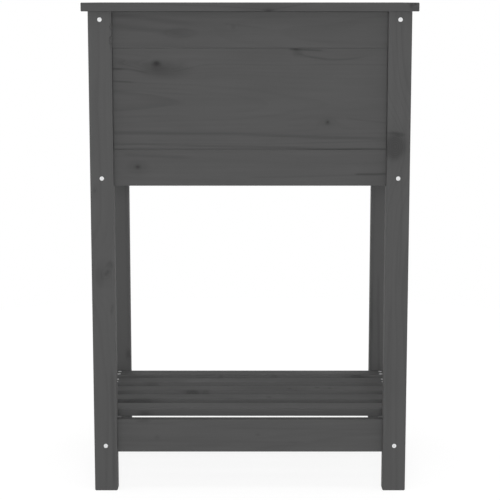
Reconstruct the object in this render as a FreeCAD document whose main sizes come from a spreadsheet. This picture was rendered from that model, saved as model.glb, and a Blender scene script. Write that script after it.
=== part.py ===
"""Wooden planter with shelf: a planting box on four legs, with a slatted shelf near the floor.

Millimetres. The origin is on the floor under the middle of the planter, +Z is up, +X runs to the right
and the front faces -Y. Every board, screw and dowel is a piece of its own.
"""

import FreeCAD, Part
import os
from collections import namedtuple

import Sketcher

doc = FreeCAD.newDocument("wooden_planter_with_shelf")
sheet = doc.addObject("Spreadsheet::Sheet", "Sizes")

# Driving dimensions: name, millimetres or count, what it is
DIMENSIONS = [
    ("overall_width", 540, "rim, left to right"),
    ("overall_depth", 345, "rim, front to back"),
    ("overall_height", 810, "floor to top of rim"),
    ("rim_overhang", 10, "rim beyond the legs, all round"),
    ("rim_thickness", 14, "rim board, upright"),
    ("rim_board_width", 58, "rim board, across"),
    ("leg_width", 38, "leg, left to right"),
    ("leg_depth", 24, "leg, front to back"),
    ("board_thickness", 14, "rails and wall boards"),
    ("wall_setback", 10, "front and back boards behind the faces of the legs"),
    ("top_rail_height", 58.5, "visible face of the wall's top rail"),
    ("panel_height", 164.5, "visible face of the wide panel board"),
    ("bottom_rail_height", 59, "visible face of the wall's bottom rail"),
    ("panel_end_gap", 0.3, "room for the panel board to swell, each end"),
    ("tongue_depth", 6, "tongue on each long edge of a panel board"),
    ("tongue_thickness", 5, "tongue, across the board"),
    ("groove_clearance", 0.2, "groove beyond the tongue, each way"),
    ("shelf_rail_clearance", 64.5, "floor to the shelf rails"),
    ("shelf_rail_height", 56, "shelf rail, upright"),
    ("slat_count", 5, "shelf slats"),
    ("slat_width", 35, "shelf slat, front to back"),
    ("slat_thickness", 14, "shelf slat, upright"),
    ("slat_end_setback", 2, "slat end inside the leg's outer side"),
    ("slat_leg_gap", 6.5, "outer slat to the legs"),
    ("slat_screw_spacing", 18, "between the two screws of a slat end"),
    ("cleat_width", 16, "floor cleat, left to right"),
    ("cleat_height", 20, "floor cleat, upright"),
    ("cleat_end_gap", 0.5, "cleat end to the leg"),
    ("floor_board_count", 5, "floor boards of the planting box"),
    ("floor_board_thickness", 14, "floor board, upright"),
    ("floor_board_gap", 4, "drainage gap between floor boards"),
    ("floor_side_gap", 0.8, "floor boards to the walls and legs"),
    ("floor_screw_spacing", 26, "between the two screws of a floor board end"),
    ("screw_diameter", 3.5, "shank of every screw"),
    ("screw_head_diameter", 7, "countersunk head of every screw"),
    ("screw_head_edge", 0.3, "straight edge of the head above its cone"),
    ("screw_head_sink", 0.2, "head below the wood's surface"),
    ("screw_point_length", 4, "tapered point"),
    ("recess_span", 4, "cross recess, tip to tip"),
    ("recess_slot", 0.9, "width of the recess's slots"),
    ("recess_depth", 1.2, "cross recess, into the head"),
    ("frame_screw_length", 50, "through a leg into a side rail"),
    ("frame_screw_inset", 13, "frame screw to the rail's outer edge"),
    ("board_screw_length", 30, "slats and floor boards"),
    ("cleat_screw_length", 25, "cleats to the side walls"),
    ("rim_screw_length", 40, "rim to the legs and top rails"),
    ("rim_screw_spacing", 220, "rim screws of the front and back top rails"),
    ("rim_side_screw_spacing", 120, "rim screws of the side top rails"),
    ("dowel_diameter", 6, "beech dowel"),
    ("dowel_leg_depth", 14, "dowel in the leg"),
    ("dowel_rail_depth", 16, "dowel in the rail"),
    ("dowel_spacing", 18, "between the two dowels of a front or back rail end"),
    ("dowel_chamfer", 0.8, "bevel on a dowel's ends"),
    ("hole_clearance", 0.1, "hole beyond its screw or dowel, on the radius"),
    ("hole_end_gap", 0.5, "blind hole beyond the end of its screw or dowel"),
    ("edge_round", 1.5, "rounded edges of legs, rim and slats"),
    ("joint_ease", 0.8, "eased edges of rails, wall boards and floor"),
    ("foot_bevel", 1.5, "bevel round the foot of a leg"),
]
for row, (name, number, meaning) in enumerate(DIMENSIONS, start=1):
    sheet.set(f"A{row}", meaning)
    sheet.set(f"B{row}", str(number))
    sheet.setAlias(f"B{row}", name)
doc.recompute()

# Places and sizes that follow from the driving dimensions
HALF_WIDTH = "(Sizes.overall_width / 2 - Sizes.rim_overhang)"
HALF_DEPTH = "(Sizes.overall_depth / 2 - Sizes.rim_overhang)"
LEG_X = f"({HALF_WIDTH} - Sizes.leg_width / 2)"
LEG_Y = f"({HALF_DEPTH} - Sizes.leg_depth / 2)"
LEG_TOP = "(Sizes.overall_height - Sizes.rim_thickness)"
WALL_Y = f"({HALF_DEPTH} - Sizes.wall_setback - Sizes.board_thickness / 2)"
FRONT_SPAN = f"(2 * {HALF_WIDTH} - 2 * Sizes.leg_width)"
SIDE_SPAN = f"(2 * {HALF_DEPTH} - 2 * Sizes.leg_depth)"
PANEL_TOP = f"({LEG_TOP} - Sizes.top_rail_height)"
PANEL_BOTTOM = f"({PANEL_TOP} - Sizes.panel_height)"
WALL_BOTTOM = f"({PANEL_BOTTOM} - Sizes.bottom_rail_height)"
SHELF_BOTTOM = "(Sizes.shelf_rail_clearance + Sizes.shelf_rail_height)"
WALL_INSIDE_X = f"({LEG_X} - Sizes.board_thickness / 2)"
CLEAT_X = f"({WALL_INSIDE_X} - Sizes.cleat_width / 2)"
FLOOR_BOTTOM = f"({WALL_BOTTOM} + Sizes.cleat_height)"
FLOOR_RUN = f"({SIDE_SPAN} - 2 * Sizes.floor_side_gap)"
FLOOR_GAPS = "(Sizes.floor_board_gap * (Sizes.floor_board_count - 1))"
FLOOR_BOARD_WIDTH = f"(({FLOOR_RUN} - {FLOOR_GAPS}) / Sizes.floor_board_count)"
FLOOR_PITCH = f"({FLOOR_BOARD_WIDTH} + Sizes.floor_board_gap)"
SLAT_TRAVEL = f"({SIDE_SPAN} - 2 * Sizes.slat_leg_gap - Sizes.slat_width)"
RIM_LEG_SCREW_X = f"({LEG_X} + Sizes.leg_width / 4)"
RIM_BOARD_Y = "(Sizes.overall_depth / 2 - Sizes.rim_board_width / 2)"
RIM_BOARD_X = "(Sizes.overall_width / 2 - Sizes.rim_board_width / 2)"
SCREW_HOLE = "(Sizes.screw_diameter + 2 * Sizes.hole_clearance)"
DOWEL_HOLE = "(Sizes.dowel_diameter + 2 * Sizes.hole_clearance)"
HEAD_ROOM = "(Sizes.screw_head_edge + Sizes.screw_head_sink + Sizes.hole_clearance)"
COUNTERSINK = f"(Sizes.screw_head_diameter + 2 * {HEAD_ROOM})"
DOWEL_IN_LEG = "(Sizes.dowel_leg_depth + Sizes.hole_end_gap)"
DOWEL_IN_RAIL = "(Sizes.dowel_rail_depth + Sizes.hole_end_gap)"
COUNTERSINK_ANGLE = 90

# A rail's lower edge, its height, its frame screw above the lower edge, and the edge with a groove
Rail = namedtuple("Rail", "base height screw_up groove")
TOP_RAIL = Rail(
    PANEL_TOP, "Sizes.top_rail_height", "(Sizes.top_rail_height - Sizes.frame_screw_inset)", "below"
)
BOTTOM_RAIL = Rail(WALL_BOTTOM, "Sizes.bottom_rail_height", "Sizes.frame_screw_inset", "above")
SHELF_RAIL = Rail(
    "Sizes.shelf_rail_clearance", "Sizes.shelf_rail_height", "Sizes.frame_screw_inset", "none"
)
RAILS = (TOP_RAIL, BOTTOM_RAIL, SHELF_RAIL)

# Pieces that are written out, in the order they are made
pieces = []


def value(expression):
    """The number that an expression of the driving dimensions gives now."""
    return float(sheet.evalExpression(expression))


def new_body(label):
    body = doc.addObject("PartDesign::Body", label)
    body.Label = label
    return body


def place(item, x, y, z, turn=0):
    """Puts a piece at a bound point, turned about the upright axis by so many degrees."""
    item.Placement = FreeCAD.Placement(FreeCAD.Vector(), FreeCAD.Rotation(FreeCAD.Vector(0, 0, 1), turn))
    for axis, expression in zip("xyz", (x, y, z)):
        item.setExpression(f"Placement.Base.{axis}", expression)
    pieces.append(item)


def sketch_on(body, name, role, lift="0"):
    """A sketch on one of the body's own planes, moved along the plane's normal."""
    sketch = body.newObject("Sketcher::SketchObject", f"{body.Label}_{name}")
    plane = next(item for item in body.Origin.OriginFeatures if item.Role == role)
    sketch.AttachmentSupport = (plane, [""])
    sketch.MapMode = "FlatFace"
    sketch.setExpression("AttachmentOffset.Base.z", lift)
    return sketch


def bind(sketch, limits):
    """Adds named limits to a sketch and ties each to its expression."""
    sketch.addConstraint([limit for limit, expression in limits])
    for limit, expression in limits:
        sketch.setExpression(f"Constraints.{limit.Name}", expression)


def limit_point(name, geometry, point, across, up):
    """Limits that hold a point at two bound distances from the sketch's origin."""
    limits = []
    for kind, expression in (("DistanceX", across), ("DistanceY", up)):
        limit = Sketcher.Constraint(kind, -1, 1, geometry, point, value(expression))
        limit.Name = f"{name}_{kind}"
        limits.append((limit, expression))
    return limits


def outline(sketch, corners):
    """A closed outline of straight lines through bound corners."""
    count = len(corners)
    points = [FreeCAD.Vector(value(across), value(up), 0) for across, up in corners]
    sketch.addGeometry([Part.LineSegment(points[i - 1], points[i]) for i in range(count)])
    sketch.addConstraint([Sketcher.Constraint("Coincident", i - 1, 2, i, 1) for i in range(1, count)])
    sketch.addConstraint(Sketcher.Constraint("Coincident", count - 1, 2, 0, 1))
    limits = []
    for index, corner in enumerate(corners):
        limits += limit_point(f"corner_{index}", index, 2, *corner)
    bind(sketch, limits)


def circles(sketch, centres, diameter):
    limits = []
    for index, (across, up) in enumerate(centres):
        centre = FreeCAD.Vector(value(across), value(up), 0)
        sketch.addGeometry(Part.Circle(centre, FreeCAD.Vector(0, 0, 1), value(diameter) / 2))
        limits += limit_point(f"centre_{index}", index, 3, across, up)
        bore_size = Sketcher.Constraint("Diameter", index, value(diameter))
        bore_size.Name = f"bore_{index}"
        limits.append((bore_size, diameter))
    bind(sketch, limits)


def feature(body, kind, name, sketch):
    item = body.newObject(f"PartDesign::{kind}", f"{body.Label}_{name}")
    item.Profile = sketch
    return item


def cuts_into(body, volume_before):
    """Stops the build if the last cut took nothing away."""
    doc.recompute([body])
    if body.Shape.Volume >= volume_before:
        raise RuntimeError(f"a cut in {body.Label} removes nothing")


def bore(body, name, role, lift, centres, diameter, depth, backward=False):
    """Blind round holes from a plane; backward is along the plane's normal."""
    before = body.Shape.Volume
    sketch = sketch_on(body, f"{name}_marks", role, lift)
    circles(sketch, centres, diameter)
    cut = feature(body, "Pocket", name, sketch)
    cut.setExpression("Length", depth)
    cut.Reversed = backward
    cuts_into(body, before)


def countersink(body, name, role, lift, centres):
    """Clearance holes right through a board, with a cone for the screw's head."""
    before = body.Shape.Volume
    sketch = sketch_on(body, f"{name}_marks", role, lift)
    circles(sketch, centres, SCREW_HOLE)
    doc.recompute([body])
    hole = feature(body, "Hole", name, sketch)
    hole.DepthType = "ThroughAll"
    hole.HoleCutType = "Countersink"
    hole.HoleCutCountersinkAngle = COUNTERSINK_ANGLE
    hole.setExpression("Diameter", SCREW_HOLE)
    hole.setExpression("HoleCutDiameter", COUNTERSINK)
    cuts_into(body, before)


def ease_edges(body, kind, radius, wanted):
    """Rounds or bevels the straight edges of the body whose two end points pass the test."""
    doc.recompute([body])
    base = body.Tip
    names = []
    for number, edge in enumerate(base.Shape.Edges, start=1):
        ends = [vertex.Point for vertex in edge.Vertexes]
        if wanted(*ends):
            names.append(f"Edge{number}")
    dressing = body.newObject(f"PartDesign::{kind}", f"{body.Label}_{kind.lower()}")
    dressing.Base = (base, names)
    dressing.setExpression("Radius" if kind == "Fillet" else "Size", radius)
    doc.recompute([body])


def same(number, other):
    return abs(number - other) < 1e-6


def board(label, length, corners, radius, round_ends=False):
    """A board along its own X axis, sawn to length from a section, with eased edges on both faces."""
    body = new_body(label)
    sketch = sketch_on(body, "section", "YZ_Plane")
    outline(sketch, corners)
    pad = feature(body, "Pad", "length", sketch)
    pad.SideType = "Symmetric"
    pad.setExpression("Length", length)
    doc.recompute([body])
    box = body.Shape.BoundBox

    def wanted(start, end):
        along = not same(start.x, end.x) and same(start.y, end.y) and same(start.z, end.z)
        if along:
            return same(abs(start.y), box.YMax)
        return round_ends

    ease_edges(body, "Fillet", radius, wanted)
    return body


def box_section(width, bottom, top):
    half = f"{width} / 2"
    return [(f"-{half}", bottom), (half, bottom), (half, top), (f"-{half}", top)]


def grooved_section(rail):
    """A rail's section, with the groove that takes the panel board's tongue."""
    half = "Sizes.board_thickness / 2"
    slot = "(Sizes.tongue_thickness / 2 + Sizes.groove_clearance / 2)"
    deep = "(Sizes.tongue_depth + Sizes.groove_clearance)"
    if rail.groove == "above":
        lip = rail.height
        floor = f"({rail.height} - {deep})"
        return [
            (f"-{half}", "0"),
            (half, "0"),
            (half, lip),
            (slot, lip),
            (slot, floor),
            (f"-{slot}", floor),
            (f"-{slot}", lip),
            (f"-{half}", lip),
        ]
    if rail.groove == "below":
        return [
            (f"-{half}", "0"),
            (f"-{slot}", "0"),
            (f"-{slot}", deep),
            (slot, deep),
            (slot, "0"),
            (half, "0"),
            (half, rail.height),
            (f"-{half}", rail.height),
        ]
    return box_section("Sizes.board_thickness", "0", rail.height)


def panel_section():
    """The wide board's section, with a tongue on each long edge."""
    half = "Sizes.board_thickness / 2"
    tongue = "Sizes.tongue_thickness / 2"
    top = "Sizes.panel_height"
    tip = "(Sizes.panel_height + Sizes.tongue_depth)"
    return [
        (f"-{half}", "0"),
        (f"-{tongue}", "0"),
        (f"-{tongue}", "-Sizes.tongue_depth"),
        (tongue, "-Sizes.tongue_depth"),
        (tongue, "0"),
        (half, "0"),
        (half, top),
        (tongue, top),
        (tongue, tip),
        (f"-{tongue}", tip),
        (f"-{tongue}", top),
        (f"-{half}", top),
    ]


def pair(offset, height):
    """Two marks at the same height, one each side of the middle."""
    return [(f"-{offset}", height), (offset, height)]


def end_bores(body, name, span, centres, diameter, depth):
    """The same blind holes in both ends of a board."""
    half = f"{span} / 2"
    bore(body, f"{name}_right", "YZ_Plane", half, centres, diameter, depth)
    bore(body, f"{name}_left", "YZ_Plane", f"-{half}", centres, diameter, depth, backward=True)


def rail_dowel_heights(rail):
    """Heights above the rail's lower edge of the two dowels in each end of a front or back rail."""
    middle = f"{rail.height} / 2"
    return (f"({middle} - Sizes.dowel_spacing / 2)", f"({middle} + Sizes.dowel_spacing / 2)")


def leg(label, side, facing):
    """A leg from the floor to the rim. side is -1 on the left and 1 on the right, facing is -1 in front."""
    body = new_body(label)
    inward = side * facing
    half_width = "Sizes.leg_width / 2"
    half_depth = "Sizes.leg_depth / 2"
    section = sketch_on(body, "section", "XY_Plane")
    outline(section, box_section("Sizes.leg_width", f"-{half_depth}", half_depth))
    pad = feature(body, "Pad", "length", section)
    pad.setExpression("Length", LEG_TOP)
    ease_edges(
        body,
        "Fillet",
        "Sizes.edge_round",
        lambda start, end: same(start.x, end.x) and same(start.y, end.y),
    )
    ease_edges(
        body,
        "Chamfer",
        "Sizes.foot_bevel",
        lambda start, end: same(start.z, 0) and same(end.z, 0),
    )
    screws = [("0", f"{rail.base} + {rail.screw_up}") for rail in RAILS]
    countersink(body, "frame_screw_holes", "XZ_Plane", half_depth, screws)
    side_dowels = [("0", f"{rail.base} + {rail.height} / 2") for rail in RAILS]
    bore(
        body,
        "side_dowel_holes",
        "XZ_Plane",
        f"-{half_depth}",
        side_dowels,
        DOWEL_HOLE,
        DOWEL_IN_LEG,
        backward=True,
    )
    wall = f"({LEG_Y} - {WALL_Y})"
    rail_dowels = [(wall, f"{rail.base} + {up}") for rail in RAILS for up in rail_dowel_heights(rail)]
    bore(
        body,
        "rail_dowel_holes",
        "YZ_Plane",
        f"{inward} * {half_width}",
        rail_dowels,
        DOWEL_HOLE,
        DOWEL_IN_LEG,
        backward=inward < 0,
    )
    rim_screw = [(f"{-inward} * Sizes.leg_width / 4", "0")]
    bore(body, "rim_screw_hole", "XY_Plane", LEG_TOP, rim_screw, SCREW_HOLE, RIM_SCREW_HOLE)
    place(body, f"{side} * {LEG_X}", f"{facing} * {LEG_Y}", "0", turn=0 if facing < 0 else 180)


def front_rail(label, rail, facing):
    """A rail between two legs on the front or back, dowelled into both."""
    body = board(label, FRONT_SPAN, grooved_section(rail), "Sizes.joint_ease")
    dowels = [("0", up) for up in rail_dowel_heights(rail)]
    end_bores(body, "dowel_holes", FRONT_SPAN, dowels, DOWEL_HOLE, DOWEL_IN_RAIL)
    if rail is TOP_RAIL:
        marks = pair("Sizes.rim_screw_spacing / 2", "0")
        bore(body, "rim_screw_holes", "XY_Plane", rail.height, marks, SCREW_HOLE, RIM_SCREW_HOLE)
    place(body, "0", f"{facing} * {WALL_Y}", rail.base)


def side_rail(label, rail, side):
    """A rail between the front and back legs. Its own -Y face looks into the planter."""
    body = board(label, SIDE_SPAN, grooved_section(rail), "Sizes.joint_ease")
    dowel = [("0", f"{rail.height} / 2")]
    end_bores(body, "dowel_hole", SIDE_SPAN, dowel, DOWEL_HOLE, DOWEL_IN_RAIL)
    end_bores(body, "frame_screw_hole", SIDE_SPAN, [("0", rail.screw_up)], SCREW_HOLE, FRAME_SCREW_HOLE)
    if rail is TOP_RAIL:
        marks = pair("Sizes.rim_side_screw_spacing / 2", "0")
        bore(body, "rim_screw_holes", "XY_Plane", rail.height, marks, SCREW_HOLE, RIM_SCREW_HOLE)
    if rail is BOTTOM_RAIL:
        marks = [(along, "Sizes.cleat_height / 2") for along in CLEAT_SCREW_Y]
        face = "Sizes.board_thickness / 2"
        bore(body, "cleat_screw_holes", "XZ_Plane", face, marks, SCREW_HOLE, CLEAT_SCREW_HOLE)
    if rail is SHELF_RAIL:
        marks = [(along, "0") for along in SLAT_SCREW_Y]
        bore(body, "slat_screw_holes", "XY_Plane", rail.height, marks, SCREW_HOLE, SLAT_SCREW_HOLE)
    place(body, f"{side} * {LEG_X}", "0", rail.base, turn=-90 * side)


def panel(label, span, x, y, turn=0):
    """The wide board of a wall, held by its tongues between the two rails."""
    length = f"({span} - 2 * Sizes.panel_end_gap)"
    body = board(label, length, panel_section(), "Sizes.joint_ease")
    place(body, x, y, PANEL_BOTTOM, turn)


def rim_board(label, length, marks, round_ends, x, y, turn):
    section = box_section("Sizes.rim_board_width", "0", "Sizes.rim_thickness")
    body = board(label, length, section, "Sizes.edge_round", round_ends)
    countersink(body, "screw_holes", "XY_Plane", "Sizes.rim_thickness", marks)
    place(body, x, y, LEG_TOP, turn)


def screw(label, length):
    """A countersunk wood screw that points down from the middle of its head."""
    body = new_body(label)
    head = "Sizes.screw_head_diameter / 2"
    shank = "Sizes.screw_diameter / 2"
    cone_end = f"-(Sizes.screw_head_edge + {head} - {shank})"
    profile = sketch_on(body, "profile", "XZ_Plane")
    outline(
        profile,
        [
            ("0", "0"),
            (head, "0"),
            (head, "-Sizes.screw_head_edge"),
            (shank, cone_end),
            (shank, f"-({length} - Sizes.screw_point_length)"),
            ("0", f"-{length}"),
        ],
    )
    turned = feature(body, "Revolution", "turned", profile)
    turned.ReferenceAxis = (profile, ["V_Axis"])
    turned.Angle = 360
    doc.recompute([body])
    before = body.Shape.Volume
    arm = "Sizes.recess_span / 2"
    slot = "Sizes.recess_slot / 2"
    cross = sketch_on(body, "recess_outline", "XY_Plane")
    outline(
        cross,
        [
            (arm, f"-{slot}"),
            (arm, slot),
            (slot, slot),
            (slot, arm),
            (f"-{slot}", arm),
            (f"-{slot}", slot),
            (f"-{arm}", slot),
            (f"-{arm}", f"-{slot}"),
            (f"-{slot}", f"-{slot}"),
            (f"-{slot}", f"-{arm}"),
            (slot, f"-{arm}"),
            (slot, f"-{slot}"),
        ],
    )
    recess = feature(body, "Pocket", "recess", cross)
    recess.setExpression("Length", "Sizes.recess_depth")
    cuts_into(body, before)
    return body


def dowel(label):
    """A beech dowel along Z, centred, with bevelled ends."""
    body = new_body(label)
    section = sketch_on(body, "section", "XY_Plane")
    circles(section, [("0", "0")], "Sizes.dowel_diameter")
    pad = feature(body, "Pad", "length", section)
    pad.SideType = "Symmetric"
    pad.setExpression("Length", "Sizes.dowel_leg_depth + Sizes.dowel_rail_depth")
    ease_edges(body, "Chamfer", "Sizes.dowel_chamfer", lambda start, *end: not end or same(start.z, end[0].z))
    return body


# Ways to point a fastener whose own axis runs down from its head
DOWN = FreeCAD.Rotation()
TO_BACK = FreeCAD.Rotation(FreeCAD.Vector(1, 0, 0), 90)
TO_FRONT = FreeCAD.Rotation(FreeCAD.Vector(1, 0, 0), -90)
TO_RIGHT = FreeCAD.Rotation(FreeCAD.Vector(0, 1, 0), -90)
TO_LEFT = FreeCAD.Rotation(FreeCAD.Vector(0, 1, 0), 90)


def group(label, master, spots):
    """Copies of one fastener as a piece of separate solids. A spot is a direction and a bound point."""
    copies = []
    for index, (direction, *point) in enumerate(spots, start=1):
        copy = doc.addObject("App::Link", f"{label}_{index}")
        copy.LinkedObject = master
        copy.LinkPlacement = FreeCAD.Placement(FreeCAD.Vector(), direction)
        for axis, expression in zip("xyz", point):
            copy.setExpression(f"LinkPlacement.Base.{axis}", expression)
        copies.append(copy)
    bundle = doc.addObject("Part::Compound", label)
    bundle.Label = label
    bundle.Links = copies
    pieces.append(bundle)


def spread(count_name, travel):
    """Places of equal boards over a travel that is centred on the middle of the planter."""
    count = int(value(f"Sizes.{count_name}"))
    return [f"({travel} * ({index} / (Sizes.{count_name} - 1) - 0.5))" for index in range(count)]


def around(places, spacing):
    """Two marks about each place."""
    return [f"({middle} {sign} {spacing} / 2)" for middle in places for sign in "-+"]


# Depths of the blind screw holes, from the face where the screw enters the second board
RIM_SCREW_HOLE = "(Sizes.rim_screw_length - Sizes.rim_thickness + Sizes.hole_end_gap)"
FRAME_SCREW_HOLE = "(Sizes.frame_screw_length - Sizes.leg_depth + Sizes.hole_end_gap)"
CLEAT_SCREW_HOLE = "(Sizes.cleat_screw_length - Sizes.cleat_width + Sizes.hole_end_gap)"
SLAT_SCREW_HOLE = "(Sizes.board_screw_length - Sizes.slat_thickness + Sizes.hole_end_gap)"
FLOOR_SCREW_HOLE = "(Sizes.board_screw_length - Sizes.floor_board_thickness + Sizes.hole_end_gap)"

# Rows of boards and of screws, front to back
SLAT_Y = spread("slat_count", SLAT_TRAVEL)
FLOOR_Y = spread("floor_board_count", f"({FLOOR_PITCH} * (Sizes.floor_board_count - 1))")
SLAT_SCREW_Y = around(SLAT_Y, "Sizes.slat_screw_spacing")
FLOOR_SCREW_Y = around(FLOOR_Y, "Sizes.floor_screw_spacing")
CLEAT_SCREW_Y = [f"(-1.5 * {FLOOR_PITCH})", "0", f"(1.5 * {FLOOR_PITCH})"]

SIDES = {"left": -1, "right": 1}
FACES = {"front": -1, "back": 1}

# Four legs carry everything
for face_name, facing in FACES.items():
    for side_name, side in SIDES.items():
        leg(f"leg_{face_name}_{side_name}", side, facing)

# Front and back of the box, and the shelf rails below them, are dowelled between the legs
for face_name, facing in FACES.items():
    front_rail(f"{face_name}_top_rail", TOP_RAIL, facing)
    panel(f"{face_name}_panel_board", FRONT_SPAN, "0", f"{facing} * {WALL_Y}")
    front_rail(f"{face_name}_bottom_rail", BOTTOM_RAIL, facing)
    front_rail(f"shelf_{face_name}_rail", SHELF_RAIL, facing)

# The side walls and side shelf rails join the two frames, with a frame screw through each leg
for side_name, side in SIDES.items():
    side_rail(f"{side_name}_top_rail", TOP_RAIL, side)
    panel(f"{side_name}_panel_board", SIDE_SPAN, f"{side} * {LEG_X}", "0", turn=-90 * side)
    side_rail(f"{side_name}_bottom_rail", BOTTOM_RAIL, side)
    side_rail(f"shelf_{side_name}_rail", SHELF_RAIL, side)

# Shelf slats lie across the side shelf rails, two screws at each end
slat_length = f"(2 * {HALF_WIDTH} - 2 * Sizes.slat_end_setback)"
slat_section = box_section("Sizes.slat_width", "0", "Sizes.slat_thickness")
for index, middle in enumerate(SLAT_Y, start=1):
    slat = board(f"shelf_slat_{index}", slat_length, slat_section, "Sizes.edge_round", round_ends=True)
    slat_marks = pair(LEG_X, "-Sizes.slat_screw_spacing / 2") + pair(LEG_X, "Sizes.slat_screw_spacing / 2")
    countersink(slat, "screw_holes", "XY_Plane", "Sizes.slat_thickness", slat_marks)
    place(slat, "0", middle, SHELF_BOTTOM)

# Floor cleats are screwed to the inside of the side walls, level with their lower edges
cleat_length = f"({SIDE_SPAN} - 2 * Sizes.cleat_end_gap)"
cleat_section = box_section("Sizes.cleat_width", "0", "Sizes.cleat_height")
for side_name, side in SIDES.items():
    cleat = board(f"floor_cleat_{side_name}", cleat_length, cleat_section, "Sizes.joint_ease")
    cleat_marks = [(along, "Sizes.cleat_height / 2") for along in CLEAT_SCREW_Y]
    countersink(cleat, "screw_holes", "XZ_Plane", "Sizes.cleat_width / 2", cleat_marks)
    floor_marks = [(along, "0") for along in FLOOR_SCREW_Y]
    bore(
        cleat,
        "floor_screw_holes",
        "XY_Plane",
        "Sizes.cleat_height",
        floor_marks,
        SCREW_HOLE,
        FLOOR_SCREW_HOLE,
    )
    place(cleat, f"{side} * {CLEAT_X}", "0", WALL_BOTTOM, turn=-90 * side)

# Floor boards lie on the cleats, with drainage gaps between them
floor_length = f"(2 * {WALL_INSIDE_X} - 2 * Sizes.floor_side_gap)"
floor_section = box_section(FLOOR_BOARD_WIDTH, "0", "Sizes.floor_board_thickness")
for index, middle in enumerate(FLOOR_Y, start=1):
    floor_board = board(f"floor_board_{index}", floor_length, floor_section, "Sizes.joint_ease")
    ends = pair(CLEAT_X, "-Sizes.floor_screw_spacing / 2") + pair(CLEAT_X, "Sizes.floor_screw_spacing / 2")
    countersink(floor_board, "screw_holes", "XY_Plane", "Sizes.floor_board_thickness", ends)
    place(floor_board, "0", middle, FLOOR_BOTTOM)

# Rim boards lie flat on the legs and top rails; the front and back ones run the full width
over_leg = f"({RIM_BOARD_Y} - {LEG_Y})"
over_wall = f"({RIM_BOARD_Y} - {WALL_Y})"
over_side_wall = f"({LEG_X} - {RIM_BOARD_X})"
rim_side_length = "(Sizes.overall_depth - 2 * Sizes.rim_board_width)"
long_marks = pair(RIM_LEG_SCREW_X, over_leg) + pair("Sizes.rim_screw_spacing / 2", over_wall)
short_marks = pair("Sizes.rim_side_screw_spacing / 2", over_side_wall)
for face_name, facing in FACES.items():
    half_turn = 0 if facing < 0 else 180
    rim_y = f"{facing} * {RIM_BOARD_Y}"
    rim_board(f"rim_{face_name}", "Sizes.overall_width", long_marks, True, "0", rim_y, half_turn)
for side_name, side in SIDES.items():
    rim_x = f"{side} * {RIM_BOARD_X}"
    rim_board(f"rim_{side_name}", rim_side_length, short_marks, False, rim_x, "0", -90 * side)

# Zinc-plated screws, heads just below the surface of the wood
sunk = "Sizes.screw_head_sink"
frame_screw = screw("frame_screw", "Sizes.frame_screw_length")
frame_spots = []
for side in SIDES.values():
    for rail in RAILS:
        height = f"{rail.base} + {rail.screw_up}"
        frame_spots.append((TO_BACK, f"{side} * {LEG_X}", f"-({HALF_DEPTH} - {sunk})", height))
        frame_spots.append((TO_FRONT, f"{side} * {LEG_X}", f"{HALF_DEPTH} - {sunk}", height))
group("frame_screws", frame_screw, frame_spots)

board_screw = screw("board_screw", "Sizes.board_screw_length")
slat_head = f"{SHELF_BOTTOM} + Sizes.slat_thickness - {sunk}"
floor_head = f"{FLOOR_BOTTOM} + Sizes.floor_board_thickness - {sunk}"
slat_spots = [(DOWN, f"{side} * {LEG_X}", y, slat_head) for side in SIDES.values() for y in SLAT_SCREW_Y]
floor_spots = [
    (DOWN, f"{side} * {CLEAT_X}", y, floor_head) for side in SIDES.values() for y in FLOOR_SCREW_Y
]
group("slat_screws", board_screw, slat_spots)
group("floor_screws", board_screw, floor_spots)

cleat_screw = screw("cleat_screw", "Sizes.cleat_screw_length")
cleat_height = f"{WALL_BOTTOM} + Sizes.cleat_height / 2"
cleat_face = f"({WALL_INSIDE_X} - Sizes.cleat_width + {sunk})"
cleat_spots = []
for along in CLEAT_SCREW_Y:
    cleat_spots.append((TO_LEFT, f"-{cleat_face}", along, cleat_height))
    cleat_spots.append((TO_RIGHT, cleat_face, along, cleat_height))
group("cleat_screws", cleat_screw, cleat_spots)

rim_screw = screw("rim_screw", "Sizes.rim_screw_length")
rim_head = f"Sizes.overall_height - {sunk}"
rim_spots = []
for side in SIDES.values():
    for facing in FACES.values():
        leg_row = f"{facing} * {LEG_Y}"
        rim_spots.append((DOWN, f"{side} * {RIM_LEG_SCREW_X}", leg_row, rim_head))
        wall_row = f"{facing} * {WALL_Y}"
        rim_spots.append((DOWN, f"{side} * Sizes.rim_screw_spacing / 2", wall_row, rim_head))
        side_row = f"{facing} * Sizes.rim_side_screw_spacing / 2"
        rim_spots.append((DOWN, f"{side} * {LEG_X}", side_row, rim_head))
group("rim_screws", rim_screw, rim_spots)

# Dowels, half in a leg and half in a rail
beech_dowel = dowel("beech_dowel")
dowel_shift = "(Sizes.dowel_leg_depth - Sizes.dowel_rail_depth) / 2"
dowel_x = f"({HALF_WIDTH} - Sizes.leg_width + {dowel_shift})"
dowel_y = f"({HALF_DEPTH} - Sizes.leg_depth + {dowel_shift})"
rail_dowel_spots = []
side_dowel_spots = []
for side in SIDES.values():
    for facing in FACES.values():
        for rail in RAILS:
            for up in rail_dowel_heights(rail):
                spot = (TO_RIGHT, f"{side} * {dowel_x}", f"{facing} * {WALL_Y}", f"{rail.base} + {up}")
                rail_dowel_spots.append(spot)
            middle = f"{rail.base} + {rail.height} / 2"
            side_dowel_spots.append((TO_BACK, f"{side} * {LEG_X}", f"{facing} * {dowel_y}", middle))
group("rail_dowels", beech_dowel, rail_dowel_spots)
group("side_dowels", beech_dowel, side_dowel_spots)

doc.recompute()

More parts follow.
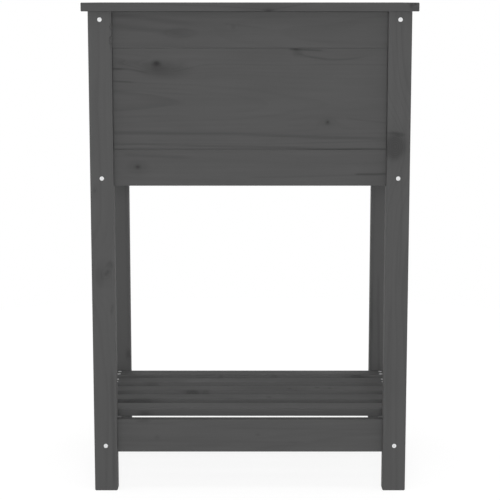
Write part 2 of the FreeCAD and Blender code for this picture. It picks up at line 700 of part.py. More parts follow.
# Nothing is written unless every object is sound
for item in doc.Objects:
    if "Invalid" in item.State or "Error" in item.State:
        raise RuntimeError(f"{item.Label} failed: {item.State}")
for item in pieces:
    if item.Shape.isNull() or not item.Shape.isValid() or not item.Shape.Solids:
        raise RuntimeError(f"{item.Label} has no sound shape")
os.makedirs("parts", exist_ok=True)
for item in pieces:
    item.Shape.exportStep(f"parts/{item.Label}.step")
print(f"{len(pieces)} pieces, {sum(len(item.Shape.Solids) for item in pieces)} solids")
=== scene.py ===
import math
import random
from collections import namedtuple

import bmesh
import bpy
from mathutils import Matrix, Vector, noise


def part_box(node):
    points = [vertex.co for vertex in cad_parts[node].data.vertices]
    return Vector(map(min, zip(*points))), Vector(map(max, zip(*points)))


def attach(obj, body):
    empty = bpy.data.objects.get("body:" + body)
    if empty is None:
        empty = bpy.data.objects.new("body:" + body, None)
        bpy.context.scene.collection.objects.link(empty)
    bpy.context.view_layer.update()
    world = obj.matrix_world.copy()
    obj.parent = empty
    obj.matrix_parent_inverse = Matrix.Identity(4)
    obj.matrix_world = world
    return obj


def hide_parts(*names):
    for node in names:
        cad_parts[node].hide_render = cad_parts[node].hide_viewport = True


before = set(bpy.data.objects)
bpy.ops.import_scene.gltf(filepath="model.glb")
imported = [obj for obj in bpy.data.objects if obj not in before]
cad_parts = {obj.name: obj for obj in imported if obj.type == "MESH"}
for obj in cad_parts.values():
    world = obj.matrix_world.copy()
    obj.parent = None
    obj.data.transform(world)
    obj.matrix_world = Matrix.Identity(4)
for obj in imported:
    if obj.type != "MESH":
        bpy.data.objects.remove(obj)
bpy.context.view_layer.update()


# Legs
# Four planed pine posts, cut square at both ends and stained grey on every face before assembly.
# They run from the floor to the underside of the rim, and every rail is screwed or dowelled to them.

class Wire:
    """An output socket of a material. Arithmetic on it adds Math nodes to that material."""

    def __init__(self, socket):
        self.socket = socket

    def node(self, kind, settings=(), inputs=(), output=0):
        """Another node of the same material: its type, its settings, then its sockets' values or links."""
        tree = self.socket.id_data
        made = tree.nodes.new("ShaderNode" + kind)
        for name, value in dict(settings).items():
            setattr(made, name, value)
        for name, value in dict(inputs).items():
            if isinstance(value, Wire):
                tree.links.new(value.socket, made.inputs[name])
            else:
                made.inputs[name].default_value = value
        return Wire(made.outputs[output])

    def beside(self, output):
        """Another output of the node that this one comes from."""
        return Wire(self.socket.node.outputs[output])

    def into(self, socket):
        self.socket.id_data.links.new(self.socket, socket)

    def maths(self, operation, *values):
        return self.node("Math", {"operation": operation}, enumerate(values))

    def __add__(self, other):
        return self.maths("ADD", self, other)

    def __radd__(self, other):
        return self.maths("ADD", other, self)

    def __sub__(self, other):
        return self.maths("SUBTRACT", self, other)

    def __rsub__(self, other):
        return self.maths("SUBTRACT", other, self)

    def __mul__(self, other):
        return self.maths("MULTIPLY", self, other)

    def __truediv__(self, other):
        return self.maths("DIVIDE", self, other)

    def __rtruediv__(self, other):
        return self.maths("DIVIDE", other, self)

    def __pow__(self, other):
        return self.maths("POWER", self, other)

    def __abs__(self):
        return self.maths("ABSOLUTE", self)

    def least(self, other):
        return self.maths("MINIMUM", self, other)

    def most(self, other):
        return self.maths("MAXIMUM", self, other)

    def smooth(self, start, end):
        """0 up to start and 1 from end on, with a soft passage between them."""
        settings = {"interpolation_type": "SMOOTHSTEP"}
        return self.node("MapRange", settings, {0: self, 1: start, 2: end, 3: 0.0, 4: 1.0})


def grey(level):
    """A neutral stain colour, from its 0 to 255 level on a screen."""
    share = level / 255
    linear = ((share + 0.055) / 1.055) ** 2.4
    return (linear, linear, linear, 1.0)


def tinted(factor, plain, tint):
    """The plain colour, passing into the tint as factor goes from 0 to 1."""
    return factor.node("Mix", {"data_type": "RGBA"}, {0: factor, 6: plain, 7: tint}, output=2)


# A knot is an egg of darker wood in the board: its centre, how far it reaches each way, how dark its core
# is, and how much it darkens the wood round it. A streak is a darker line along the grain: where it starts
# and ends, along and across the board, how far it bows between them, its half width, and how dark it is.
# A patch is a spot of the wood's figure: its length and breadth, how detailed it is, and an offset that
# keeps one kind from falling on another. Places and sizes are in millimetres.
Knot = namedtuple("Knot", "centre reach core halo")
Streak = namedtuple("Streak", "start end bow half_width dark")
Patch = namedtuple("Patch", "length breadth detail offset")

MILLIMETRES = 1000.0
PALE_STAIN = grey(87)
DEEP_STAIN = grey(61)
KNOT_STAIN = grey(38)
RUBBED_STAIN = grey(98)


def stained_pine(node, seed, knots=(), streaks=(), shade=0.0, figure=1.0, edge=0.0):
    """Grey stained pine for one board: grain along its longest side, with its own rings, knots and streaks.

    shade darkens the whole board, figure is how strongly its grain shows, and the edge value is painted
    shade on the faces of its long edges, and painted light where it is below zero.
    """
    low, high = (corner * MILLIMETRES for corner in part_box(node))
    middle = (low + high) / 2
    half = (high - low) / 2
    grain, width, thickness = sorted(range(3), key=lambda axis: -half[axis])
    draw = random.Random(seed)

    material = bpy.data.materials.new(node + "_stain")
    material.use_nodes = True
    shader = material.node_tree.nodes["Principled BSDF"]
    metres = Wire(shader.outputs[0]).node("TexCoord", output="Object")
    place = metres.node("VectorMath", {"operation": "SCALE"}, {0: metres, "Scale": MILLIMETRES})
    split = place.node("SeparateXYZ", inputs={0: place})
    part = [split.beside(axis) for axis in range(3)]
    along, across, through = (part[axis] - middle[axis] for axis in (grain, width, thickness))

    board_stride = 7.3

    def cloud(patch):
        """Noise drawn out along the grain, in other places on each board."""
        spot = along.node("CombineXYZ", inputs={
            0: along / patch.length + (seed * board_stride + patch.offset),
            1: across / patch.breadth,
            2: through / patch.breadth,
        })
        return spot.node("TexNoise", inputs={"Vector": spot, "Scale": 1.0, "Detail": patch.detail})

    # How near a point lies to each knot, and how the grain swerves round it
    flow_across, flow_along, swerve_share = 2.0, 3.6, 1.2
    nearness = []
    swerve = 0.0
    flow = Vector((flow_across, flow_across, flow_across))
    flow[grain] = flow_along
    for knot in knots:
        offset = place.node("VectorMath", {"operation": "SUBTRACT"}, {0: place, 1: knot.centre})
        scaled = offset.node("VectorMath", {"operation": "DIVIDE"}, {0: offset, 1: knot.reach})
        nearness.append(scaled.node("VectorMath", {"operation": "LENGTH"}, {0: scaled}, output=1))
        wide = scaled.node("VectorMath", {"operation": "DIVIDE"}, {0: scaled, 1: flow})
        square = wide.node("VectorMath", {"operation": "DOT_PRODUCT"}, {0: wide, 1: wide}, output=1)
        swerve = swerve + min(knot.reach) * swerve_share / (square + 1.0) ** 2.0

    # Growth rings round the heart of the log, which lies outside the board and leans along it
    ring_width, ring_drift, wander_across, wander_through = 4.2, 2.0, 16.0, 10.0
    late_starts, late_full, late_stops, year_ends = 0.45, 0.9, 0.92, 1.0
    faintest, year_stride = 0.15, 3.1
    heart_spread, heart_nearest, heart_farthest, most_lean = 1.1, 45.0, 120.0, 0.025
    heart_across = draw.uniform(-heart_spread, heart_spread) * half[width]
    heart_through = draw.choice((-1, 1)) * draw.uniform(heart_nearest, heart_farthest)
    lean = draw.uniform(-most_lean, most_lean)
    wander = cloud(Patch(300.0, 90.0, 1.0, 0.0)).beside("Color")
    sway = wander.node("SeparateColor", inputs={0: wander})
    ring_across = across - heart_across + (sway.beside(0) - 0.5) * wander_across
    ring_through = through - heart_through + along * lean + (sway.beside(1) - 0.5) * wander_through
    radius = (ring_across * ring_across + ring_through * ring_through) ** 0.5 + swerve
    ring = radius / ring_width + sway.beside(2) * ring_drift
    year = ring.maths("FLOOR", ring)
    season = ring - year
    bold = year.node("TexWhiteNoise", {"noise_dimensions": "1D"}, {"W": year + seed * year_stride})
    late_wood = season.smooth(late_starts, late_full) * (1.0 - season.smooth(late_stops, year_ends))
    late_wood = late_wood * (bold ** 2.5 * (1.0 - faintest) + faintest)

    # The stain's tone, from 0 for pale to 1 for deep, and how much each kind of figure adds to it
    board_tone, blotch_tone, band_tone, fibre_tone = 0.32, 0.24, 0.32, 0.2
    ring_tone, mean_late_wood = 0.26, 0.08
    blotch = cloud(Patch(120.0, 30.0, 2.0, 11.0))
    band = cloud(Patch(340.0, 6.5, 2.0, 17.0))
    fibre = cloud(Patch(42.0, 1.0, 2.0, 23.0))
    grain_tone = (blotch - 0.5) * blotch_tone + (band - 0.5) * band_tone
    grain_tone = grain_tone + (fibre - 0.5) * fibre_tone + (late_wood - mean_late_wood) * ring_tone
    tone = board_tone + shade + grain_tone * figure

    # Streaks waver with the blotches and fade at both ends
    waver, fades_in, fades_out = 5.0, 0.12, 0.75
    for streak in streaks:
        share = (along + middle[grain] - streak.start[0]) / (streak.end[0] - streak.start[0])
        line = streak.start[1] + share * (streak.end[1] - streak.start[1])
        line = line + share * (1.0 - share) * (4.0 * streak.bow)
        away = abs(across + middle[width] - line + (blotch - 0.5) * waver)
        fade = share.smooth(0.0, fades_in) * (1.0 - share.smooth(fades_out, 1.0))
        tone = tone + (1.0 - away.smooth(0.0, streak.half_width * 2.0)) * fade * streak.dark

    # Knots have a ragged edge, a halo in the wood round them, and faint rings in their core
    fine_fray, broad_fray = 0.3, 0.6
    halo_starts, halo_ends, core_starts, core_ends = 0.6, 2.2, 0.5, 1.05
    core_ring_pace, core_ring_tone = 2.2, 0.16
    core = 0.0
    for knot, near in zip(knots, nearness):
        ragged = near + (fibre - 0.5) * fine_fray + (blotch - 0.5) * broad_fray
        tone = tone + (1.0 - ragged.smooth(halo_starts, halo_ends)) * knot.halo
        if knot.core:
            turn = near * (core_ring_pace * min(knot.reach))
            yearly = turn.maths("SINE", turn) * core_ring_tone + (1.0 - core_ring_tone)
            core = (1.0 - ragged.smooth(core_starts, core_ends)) * yearly * knot.core + core

    # End grain drinks more stain, the faces of the long edges get painted shade or painted light, set board
    # by board for how light falls on them, and the eased corners lose a little
    turned_little, turned_far = 0.6, 0.9
    end_tone, end_ring_tone = 0.25, 0.4
    rub_starts, rub_ends, rub_sparse, rub_full, rub_share = 0.2, 2.0, 0.6, 1.05, 0.2
    normal = along.node("NewGeometry", output="Normal")
    facing = normal.node("SeparateXYZ", inputs={0: normal})
    end_grain = abs(facing.beside(grain)).smooth(turned_little, turned_far)
    tone = tone + end_grain * (end_tone + late_wood * end_ring_tone)
    # Painted shade on the faces of the long edges, and painted light where the value is below zero
    if edge:
        tone = tone + abs(facing.beside(width)).smooth(turned_little, turned_far) * edge
    to_face = [float(half[axis]) - abs(part[axis] - middle[axis]) for axis in range(3)]
    nearer, farther = to_face[0].least(to_face[1]), to_face[0].most(to_face[1])
    to_edge = nearer.most(farther.least(to_face[2]))
    rub = (1.0 - to_edge.smooth(rub_starts, rub_ends)) * (blotch + fibre * 0.5).smooth(rub_sparse, rub_full)

    colour = tinted(tone, PALE_STAIN, DEEP_STAIN)
    colour = tinted(rub * rub_share, colour, RUBBED_STAIN)
    fibre_relief, ring_relief, knot_sink = 0.5, 0.7, 0.8
    relief = fibre * fibre_relief + late_wood * ring_relief
    if core:
        colour = tinted(core, colour, KNOT_STAIN)
        relief = relief - core * knot_sink
    colour.into(shader.inputs["Base Color"])
    matt, blotch_matt, ring_gloss, rub_gloss = 0.69, 0.16, 0.1, 0.12
    roughness = matt + (blotch - 0.5) * blotch_matt - late_wood * ring_gloss - rub * rub_gloss
    roughness.into(shader.inputs["Roughness"])
    bump = relief.node("Bump", inputs={"Strength": 0.35, "Distance": 0.0004, "Height": relief})
    bump.into(shader.inputs["Normal"])
    shader.inputs["Specular IOR Level"].default_value = 0.15
    return material


def stain(node, seed, knots=(), streaks=(), **tones):
    """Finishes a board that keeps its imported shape."""
    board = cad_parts[node]
    board.material_slots[0].material = stained_pine(node, seed, knots, streaks, **tones)


# Its edge value paints shade on the leg's side faces, which the side lamps light brightly
stain("leg_front_right", 2, [
    Knot((235, -160, 579), (22, 30, 27), 0.5, 0.12),
    Knot((233, -160, 601), (9, 30, 1.6), 0.0, 0.36),
    Knot((244, -160, 598), (5, 30, 2), 0.0, 0.36),
], [
    Streak((560, 246), (330, 244), 1.5, 1.5, 0.16),
    Streak((330, 232), (60, 229), -1.5, 2.0, 0.14),
], shade=-0.06, figure=0.75, edge=0.06)
# The back legs are stained lighter than the front ones: painted light that makes up for the shade they
# stand in at the back of the planter
stain("leg_back_left", 3, [Knot((-226, 150, 164), (4, 30, 8), 0.25, 0.3)], [
    Streak((520, -228), (150, -226), 1.0, 2.0, 0.16),
], shade=-0.36, figure=0.75)
stain("leg_back_right", 4, [Knot((244, 150, 655), (6, 30, 9), 0.5, 0.3)], [
    Streak((520, 229), (150, 226), -1.0, 2.0, 0.16),
    Streak((330, 236), (40, 239), 1.0, 2.2, 0.3),
    Streak((310, 225), (40, 224), 0.5, 1.6, 0.3),
], shade=-0.34, figure=0.75)

# The left front leg has wane on its inner front edge, where the bark side of the log was left just below
# the rim. It is given as heights up the leg, each with how far wood is missing there, in millimetres.
WANE = (
    (779.0, 0.2), (775.0, 2.2), (771.0, 3.2), (767.0, 2.4), (763.5, 0.5), (758.0, 0.5),
    (755.0, 3.2), (751.0, 4.6), (746.0, 4.0), (740.0, 2.7), (734.0, 1.5), (728.0, 0.2),
)
WANE_STEP = 0.8
WANE_POINTS = 28
WANE_FRAY = 0.35
WANE_FRAY_TURNS = 1.3
WANE_FRAY_LENGTH = 5.0
SAME_PLACE = 1e-6
SHARP_EDGE = math.radians(35)
left_low, left_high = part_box("leg_front_left")


def wane_reach(height):
    """How far the missing wood reaches from the leg's edge at a height, both in millimetres."""
    for (upper, wide), (lower, narrow) in zip(WANE, WANE[1:]):
        if lower <= height <= upper:
            share = (upper - height) / (upper - lower)
            share = share * share * (3 - 2 * share)
            return wide + share * (narrow - wide)
    return WANE[-1][1]


missing = bmesh.new()
rings = []
for step in range(int((WANE[0][0] - WANE[-1][0]) / WANE_STEP) + 1):
    height = WANE[0][0] - step * WANE_STEP
    ring = []
    for point in range(WANE_POINTS):
        angle = math.tau * point / WANE_POINTS
        way = Vector((math.cos(angle), math.sin(angle), 0.0))
        fray_spot = way * WANE_FRAY_TURNS
        fray_spot.z = height / WANE_FRAY_LENGTH
        spot = way * wane_reach(height) * (1.0 + WANE_FRAY * noise.noise(fray_spot))
        ring.append(missing.verts.new((
            left_high.x + spot.x / MILLIMETRES, left_low.y + spot.y / MILLIMETRES, height / MILLIMETRES)))
    rings.append(ring)
for upper, lower in zip(rings, rings[1:]):
    for point in range(WANE_POINTS):
        missing.faces.new((upper[point - 1], lower[point - 1], lower[point], upper[point]))
missing.faces.new(rings[0])
missing.faces.new(list(reversed(rings[-1])))
bmesh.ops.recalc_face_normals(missing, faces=missing.faces)
missing_mesh = bpy.data.meshes.new("missing_wood")
missing.to_mesh(missing_mesh)
missing.free()
missing_wood = bpy.data.objects.new("missing_wood", missing_mesh)
bpy.context.scene.collection.objects.link(missing_wood)

post = bmesh.new()
post.from_mesh(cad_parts["leg_front_left"].data)
bmesh.ops.remove_doubles(post, verts=post.verts, dist=SAME_PLACE)
sawn_mesh = bpy.data.meshes.new("front_left_sawn_post")
post.to_mesh(sawn_mesh)
post.free()
waned_leg = bpy.data.objects.new("front_left_waned_leg", sawn_mesh)
bpy.context.scene.collection.objects.link(waned_leg)
cut = waned_leg.modifiers.new("wane", "BOOLEAN")
cut.operation = "DIFFERENCE"
cut.solver = "EXACT"
cut.object = missing_wood
flats = waned_leg.modifiers.new("flats", "WEIGHTED_NORMAL")
flats.keep_sharp = True
sawn_mesh.shade_smooth()
sawn_mesh.set_sharp_from_angle(angle=SHARP_EDGE)
built = waned_leg.evaluated_get(bpy.context.evaluated_depsgraph_get())
waned_leg.data = bpy.data.meshes.new_from_object(built)
waned_leg.modifiers.clear()
bpy.data.objects.remove(missing_wood)
waned_leg.data.materials.clear()
# Its edge value paints shade on the leg's side faces, which the side lamps light brightly
waned_leg.data.materials.append(stained_pine("leg_front_left", 1, [
    Knot((-240, -160, 370), (12, 40, 15), 0.0, 0.14),
    Knot((-247, -160, 362), (4, 40, 11), 0.0, 0.14),
    Knot((-236.5, -160, 369), (3.2, 40, 2.6), 0.16, 0.22),
    Knot((-233, -160, 373.5), (3, 40, 2.6), 0.16, 0.22),
    Knot((-229.5, -160, 385), (4, 40, 4.5), 0.08, 0.2),
    Knot((-226, -150, 315), (2, 20, 5), 0.2, 0.16),
    Knot((-228, -150, 307), (2, 20, 5), 0.2, 0.16),
    Knot((-252, -150, 507), (2.5, 20, 4), 0.3, 0.15),
], [
    Streak((215, -229), (-20, -228), 1.0, 3.0, 0.26),
], shade=-0.08, figure=0.6, edge=0.06))
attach(waned_leg, "root")
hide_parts("leg_front_left")


# Front wall
# Two pine rails dowelled between the front legs, with one wide pine board tongued into them.
# They sit 10 mm behind the faces of the legs, and the two joints show as fine shaded lines.

FRONT_Y = -145.5
stain("front_top_rail", 11, [
    Knot((-112, FRONT_Y, 762), (14, 30, 6), 0.0, 0.17),
    Knot((-27, FRONT_Y, 771), (3, 30, 3), 0.1, 0.12),
], [
    Streak((-245, 793), (-68, 774), 0.0, 3.5, 0.2),
    Streak((-245, 776), (-90, 759), 0.0, 4.0, 0.2),
    Streak((-44, 777), (30, 768), 0.0, 1.5, 0.14),
], figure=0.8)
stain("front_panel_board", 12, [
    Knot((-151, FRONT_Y, 713), (5.5, 30, 4.2), 0.72, 0.35),
    Knot((-148, FRONT_Y, 706), (14, 30, 8), 0.12, 0.12),
    Knot((-138, FRONT_Y, 702), (26, 30, 9), 0.0, 0.3),
    Knot((-188, FRONT_Y, 712), (26, 30, 4), 0.0, 0.18),
    Knot((74, FRONT_Y, 735), (6, 30, 1.8), 0.4, 0.25),
    Knot((77, FRONT_Y, 730), (6, 30, 3), 0.0, 0.24),
    Knot((126, FRONT_Y, 618), (3.2, 30, 3.2), 0.5, 0.25),
    Knot((126, FRONT_Y, 618), (11, 30, 7), 0.0, 0.12),
], [
    Streak((-268, 703.5), (-196, 703), 0.0, 1.5, 0.4),
    Streak((-235, 704), (-158, 696), 3.0, 1.4, 0.32),
    Streak((-268, 685), (-180, 683.5), 0.0, 1.3, 0.42),
    Streak((60, 736.5), (124, 733.5), 0.0, 1.3, 0.5),
    Streak((70, 731), (200, 728), -10.0, 1.6, 0.24),
    Streak((66, 726), (132, 719), 0.0, 1.4, 0.14),
    Streak((-290, 601), (310, 586), 4.0, 2.4, 0.26),
    Streak((-290, 584), (310, 571), 0.0, 1.7, 0.26),
    Streak((152, 625), (252, 612), 0.0, 1.5, 0.18),
    Streak((-250, 669), (-70, 660), 3.0, 1.6, 0.13),
    Streak((-290, 574.3), (310, 574.3), 0.0, 1.0, 0.32),
], figure=0.8)
stain("front_bottom_rail", 13, [
    Knot((-183, FRONT_Y, 545), (4.2, 30, 3.2), 0.45, 0.3),
    Knot((-183, FRONT_Y, 545), (13, 30, 8), 0.0, 0.2),
], [
    Streak((168, 532.5), (240, 535), 0.0, 1.5, 0.5),
    Streak((-212, 566), (-85, 560), 0.0, 2.6, 0.18),
    Streak((-10, 527), (250, 533), 0.0, 1.5, 0.14),
], figure=0.85)


# Back and side walls
# The other three walls are built as the front one is: two rails and one wide tongued board each.
# The side rails lie between the legs on the legs' centre lines, with a screw and a dowel at each end.

def scattered(node, seed, most):
    """A few knots at chance places in a board, with a dark core each."""
    low, high = (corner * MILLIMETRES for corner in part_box(node))
    sides = high - low
    through = min(range(3), key=lambda axis: sides[axis])
    draw = random.Random(seed * 31 + 5)
    smallest, largest, shortest, longest, right_through = 2.0, 6.5, 0.8, 1.3, 30.0
    pale_core, dark_core, pale_halo, dark_halo = 0.35, 0.7, 0.2, 0.35
    knots = []
    for _ in range(draw.randint(1, most)):
        size = draw.uniform(smallest, largest)
        centre = [draw.uniform(low[axis] + size, high[axis] - size) for axis in range(3)]
        reach = [size * draw.uniform(shortest, longest) for _ in range(3)]
        reach[through] = right_through
        core, halo = draw.uniform(pale_core, dark_core), draw.uniform(pale_halo, dark_halo)
        knots.append(Knot(centre, reach, core, halo))
    return knots


wall_seed = 20
for wall, most in (("back", 3), ("left", 2), ("right", 2)):
    for board_name in ("top_rail", "panel_board", "bottom_rail"):
        node = f"{wall}_{board_name}"
        stain(node, wall_seed, scattered(node, wall_seed, most))
        wall_seed += 1


# Shelf rails
# Pine rails between the legs, 64.5 mm above the floor. The front and back ones are dowelled to the legs.
# The side ones, which carry the shelf, have a screw through the leg and a dowel at each end.

# Its edge value paints light on the rail's top and bottom faces, where the front slat shades its top
stain("shelf_front_rail", 31, [
    Knot((-178, FRONT_Y, 119), (8, 30, 3), 0.1, 0.2),
    Knot((-156, FRONT_Y, 89), (3, 30, 3), 0.0, 0.16),
    Knot((13, FRONT_Y, 94), (3, 30, 2), 0.08, 0.14),
    Knot((75, FRONT_Y, 81), (10, 30, 1.6), 0.0, 0.12),
], [
    Streak((-260, 84), (120, 79), 2.0, 2.0, 0.14),
    Streak((-60, 106), (280, 101), 0.0, 1.8, 0.12),
], shade=-0.02, figure=0.85, edge=-0.2)
for seed, side in enumerate(("back", "left", "right"), start=32):
    node = f"shelf_{side}_rail"
    stain(node, seed, scattered(node, seed, 2))


# Shelf slats
# Five pine slats across the side shelf rails, planed with rounded edges and laid with open gaps.
# Each has two screws at each end, down into the rail.

SLAT_UP = 127.5
# The slats are stained lighter than the walls: painted light for the shade of the box above them. Their
# edge values paint light and shade on their front and back faces, slat by slat, for the shade in the gaps
# between them
SLAT_PAINTED_LIGHT = -0.1
stain("shelf_slat_1", 41, [Knot((-177, -132, 124), (9, 12, 4), 0.2, 0.3)], shade=SLAT_PAINTED_LIGHT, edge=0.08)
stain("shelf_slat_2", 42, [
    Knot((-191, -75, SLAT_UP), (27, 9, 14), 0.3, 0.3),
    Knot((33, -60, 134), (4, 5, 12), 0.3, 0.25),
], shade=SLAT_PAINTED_LIGHT, edge=-0.08)
stain("shelf_slat_3", 43, [
    Knot((-101, -17, SLAT_UP), (14, 8, 14), 0.36, 0.26),
    Knot((-78, -17, SLAT_UP), (6, 8, 14), 0.12, 0.22),
    Knot((70, -4, 134), (4, 4, 12), 0.3, 0.25),
    Knot((119, 5, 134), (4, 4, 12), 0.3, 0.25),
    Knot((141, 1, 134), (3, 4, 12), 0.3, 0.25),
], shade=SLAT_PAINTED_LIGHT, edge=-0.18)
stain("shelf_slat_4", 44, [
    Knot((-175, 40, SLAT_UP), (12, 8, 14), 0.12, 0.26),
], shade=SLAT_PAINTED_LIGHT, edge=-0.28)
stain("shelf_slat_5", 45, [
    Knot((196, 97, SLAT_UP), (15, 8, 14), 0.15, 0.26),
    Knot((-53, 97, SLAT_UP), (4, 7, 12), 0.12, 0.2),
    Knot((44, 97, SLAT_UP), (6, 7, 12), 0.1, 0.18),
], shade=SLAT_PAINTED_LIGHT, edge=-0.18)


# Cleats and floor boards
# A pine cleat screwed inside each side wall, level with its lower edge, and five pine boards laid on them.
# The boards are screwed down with gaps that let water drain, and they are stained like the rest.

for seed, side in enumerate(("left", "right"), start=51):
    node = f"floor_cleat_{side}"
    stain(node, seed, scattered(node, seed, 2))
for seed, number in enumerate(range(1, 6), start=55):
    node = f"floor_board_{number}"
    stain(node, seed, scattered(node, seed, 3))


# Rim
# Four pine boards laid flat round the top with rounded outer edges: the front and back ones run the full
# width, and the side ones are butted between them. Screws go down into the legs and top rails.

RIM_SHADE = 0.06
stain("rim_front", 61, [
    Knot((30, -168, 797), (7, 14, 3.5), 0.4, 0.3),
    Knot((21, -172, 802), (32, 10, 7), 0.0, 0.15),
    Knot((257, -172, 806), (2.2, 12, 4.5), 0.3, 0.3),
    Knot((263, -172, 808), (2.6, 12, 2.5), 0.3, 0.25),
    Knot((264, -172, 799), (5, 12, 4), 0.06, 0.22),
    Knot((-140, -134, 806), (7, 6, 30), 0.55, 0.3),
], shade=RIM_SHADE)
for seed, side in enumerate(("back", "left", "right"), start=62):
    node = f"rim_{side}"
    stain(node, seed, scattered(node, seed, 3), shade=RIM_SHADE)


# Screws
# Countersunk cross-head wood screws of bright zinc plated steel, driven flush with the boards.
# They hold the side rails to the legs, and the slats, cleats, floor boards and rim to what carries them.

DULL_ZINC = (0.72, 0.73, 0.74, 1.0)
BRIGHT_ZINC = (0.84, 0.84, 0.84, 1.0)
zinc = bpy.data.materials.new("screw_zinc_plate")
zinc.use_nodes = True
zinc_shader = zinc.node_tree.nodes["Principled BSDF"]
zinc_shader.inputs["Metallic"].default_value = 0.25
plate = Wire(zinc_shader.outputs[0]).node("TexCoord", output="Object")
cloudy = plate.node("TexNoise", inputs={"Vector": plate, "Scale": 900.0, "Detail": 3.0})
tinted(cloudy, DULL_ZINC, BRIGHT_ZINC).into(zinc_shader.inputs["Base Color"])
(0.34 + cloudy * 0.2).into(zinc_shader.inputs["Roughness"])
for kind in ("frame", "slat", "floor", "cleat", "rim"):
    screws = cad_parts[f"{kind}_screws"]
    screws.material_slots[0].material = zinc


# Dowels
# Plain beech pins, bevelled at both ends and glued half in a leg and half in the end of a rail.
# The boards hide them.

PALE_BEECH = (0.55, 0.38, 0.22, 1.0)
BEECH_FLECK = (0.36, 0.22, 0.12, 1.0)
beech = bpy.data.materials.new("dowel_beech_wood")
beech.use_nodes = True
beech_shader = beech.node_tree.nodes["Principled BSDF"]
pin = Wire(beech_shader.outputs[0]).node("TexCoord", output="Object")
fleck = pin.node("TexNoise", inputs={"Vector": pin, "Scale": 1400.0, "Detail": 2.0})
tinted(fleck, PALE_BEECH, BEECH_FLECK).into(beech_shader.inputs["Base Color"])
(0.55 + fleck * 0.2).into(beech_shader.inputs["Roughness"])
for kind in ("rail", "side"):
    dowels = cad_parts[f"{kind}_dowels"]
    dowels.material_slots[0].material = beech


# Studio floor and light
# A round pale floor in even white light from all round, a little stronger from below, as over a white
# floor. A soft lamp stands on each side of the planter, and one hangs over it.

FLOOR_RADIUS = 1.5
FLOOR_SIDES = 64
floor_mesh = bpy.data.meshes.new("studio_floor")
turns = [math.tau * side / FLOOR_SIDES for side in range(FLOOR_SIDES)]
floor_edge = [(FLOOR_RADIUS * math.cos(turn), FLOOR_RADIUS * math.sin(turn), 0.0) for turn in turns]
floor_mesh.from_pydata(floor_edge, [], [range(FLOOR_SIDES)])
floor = bpy.data.objects.new("studio_floor", floor_mesh)
bpy.context.scene.collection.objects.link(floor)
floor.visible_diffuse = False

WHITE = (1.0, 1.0, 1.0, 1.0)
FLOOR_WHITE = (0.9, 0.9, 0.9, 1.0)
FLOOR_LIFT = 0.75
FLOOR_GLOW = 1.14
floor_paint = bpy.data.materials.new("studio_floor_paint")
floor_paint.use_nodes = True
floor_shader = floor_paint.node_tree.nodes["Principled BSDF"]
floor_shader.inputs["Base Color"].default_value = FLOOR_WHITE
floor_shader.inputs["Roughness"].default_value = 0.9
floor_shader.inputs["Specular IOR Level"].default_value = 0.0
paint = Wire(floor_shader.outputs[0])


def seen_directly(wire):
    """1 for what the camera, a reflection or a glass shows, and 0 for light that falls on the object."""
    looks = wire.node("LightPath", output="Is Camera Ray")
    return looks.most(looks.beside("Is Glossy Ray")).most(looks.beside("Is Transmission Ray"))


glow = paint.node("Emission", inputs={"Color": WHITE, "Strength": FLOOR_GLOW})
floor_look = paint.node("MixShader", inputs={0: seen_directly(paint) * FLOOR_LIFT, 1: paint, 2: glow})
floor_look.into(floor_paint.node_tree.nodes["Material Output"].inputs["Surface"])
floor_mesh.materials.append(floor_paint)

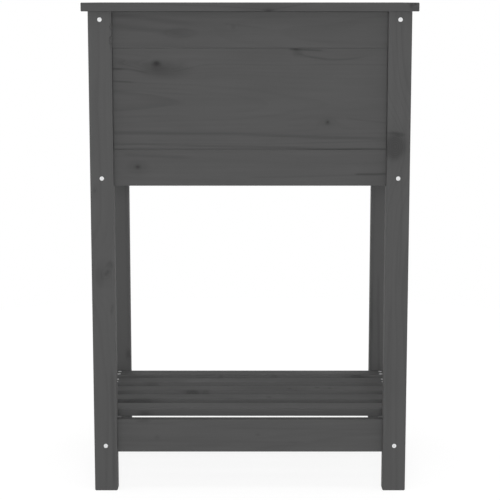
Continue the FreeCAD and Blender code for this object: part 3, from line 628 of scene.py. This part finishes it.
FROM_ABOVE = 0.36
FROM_BELOW = 0.62
HORIZON_BLEND = 0.2
world = bpy.data.worlds.new("studio_sky")
bpy.context.scene.world = world
world.use_nodes = True
background = world.node_tree.nodes["Background"]
background.inputs["Color"].default_value = WHITE
background.inputs["Strength"].default_value = FROM_ABOVE
sky = Wire(background.outputs[0])
ground = sky.node("Background", inputs={"Color": WHITE, "Strength": FROM_BELOW})
backdrop = sky.node("Background", inputs={"Color": WHITE, "Strength": 1.0})
bearing = sky.node("TexCoord", output="Generated")
upward = bearing.node("SeparateXYZ", inputs={0: bearing}).beside("Z").smooth(-HORIZON_BLEND, HORIZON_BLEND)
room = sky.node("MixShader", inputs={0: upward, 1: ground, 2: sky})
room_look = sky.node("MixShader", inputs={0: seen_directly(sky), 1: room, 2: backdrop})
room_look.into(world.node_tree.nodes["World Output"].inputs["Surface"])

# Name, place, width and height, tilt up from facing down, turn from facing the back, and power in watts.
# Reflections show the white room, not the lamps.
Lamp = namedtuple("Lamp", "name place size tilt turn power")
LAMPS = (
    Lamp("front_lamp", (0.0, -2.75, 0.85), (1.8, 0.5), 87.0, 0.0, 37.2),
    Lamp("left_lamp", (-3.3, -0.4, 0.5), (1.6, 0.8), 90.0, -90.0, 28.0),
    Lamp("right_lamp", (3.3, -0.4, 0.5), (1.6, 0.8), 90.0, 90.0, 28.0),
    Lamp("back_lamp", (0.0, 3.4, 0.5), (1.6, 0.8), 90.0, 180.0, 38.0),
    Lamp("top_lamp", (0.0, -0.3, 3.5), (2.0, 2.0), 0.0, 0.0, 34.0),
)
for lamp in LAMPS:
    lamp_data = bpy.data.lights.new(lamp.name, "AREA")
    lamp_data.shape = "RECTANGLE"
    lamp_data.size, lamp_data.size_y = lamp.size
    lamp_data.energy = lamp.power
    lamp_object = bpy.data.objects.new(lamp.name, lamp_data)
    bpy.context.scene.collection.objects.link(lamp_object)
    lamp_object.location = lamp.place
    lamp_object.rotation_euler = (math.radians(lamp.tilt), 0.0, math.radians(lamp.turn))
    lamp_object.visible_camera = False
    lamp_object.visible_glossy = False


# Camera
# It stands in front of the planter at the height of the rim and looks down a little, through a long lens
# with a slight shift. The planter fills the frame from its rim to its feet.

CAMERA_PLACE = (0.0, -2.614, 0.812)
CAMERA_DIP = 8.76
CAMERA_LENS = 109.2
CAMERA_SHIFT = -0.03
camera_data = bpy.data.cameras.new("camera")
camera_data.lens = CAMERA_LENS
camera_data.shift_y = CAMERA_SHIFT
camera = bpy.data.objects.new("camera", camera_data)
bpy.context.scene.collection.objects.link(camera)
camera.location = CAMERA_PLACE
camera.rotation_euler = (math.radians(90.0 - CAMERA_DIP), 0.0, 0.0)
bpy.context.scene.camera = camera
bpy.context.scene.view_settings.view_transform = "Standard"
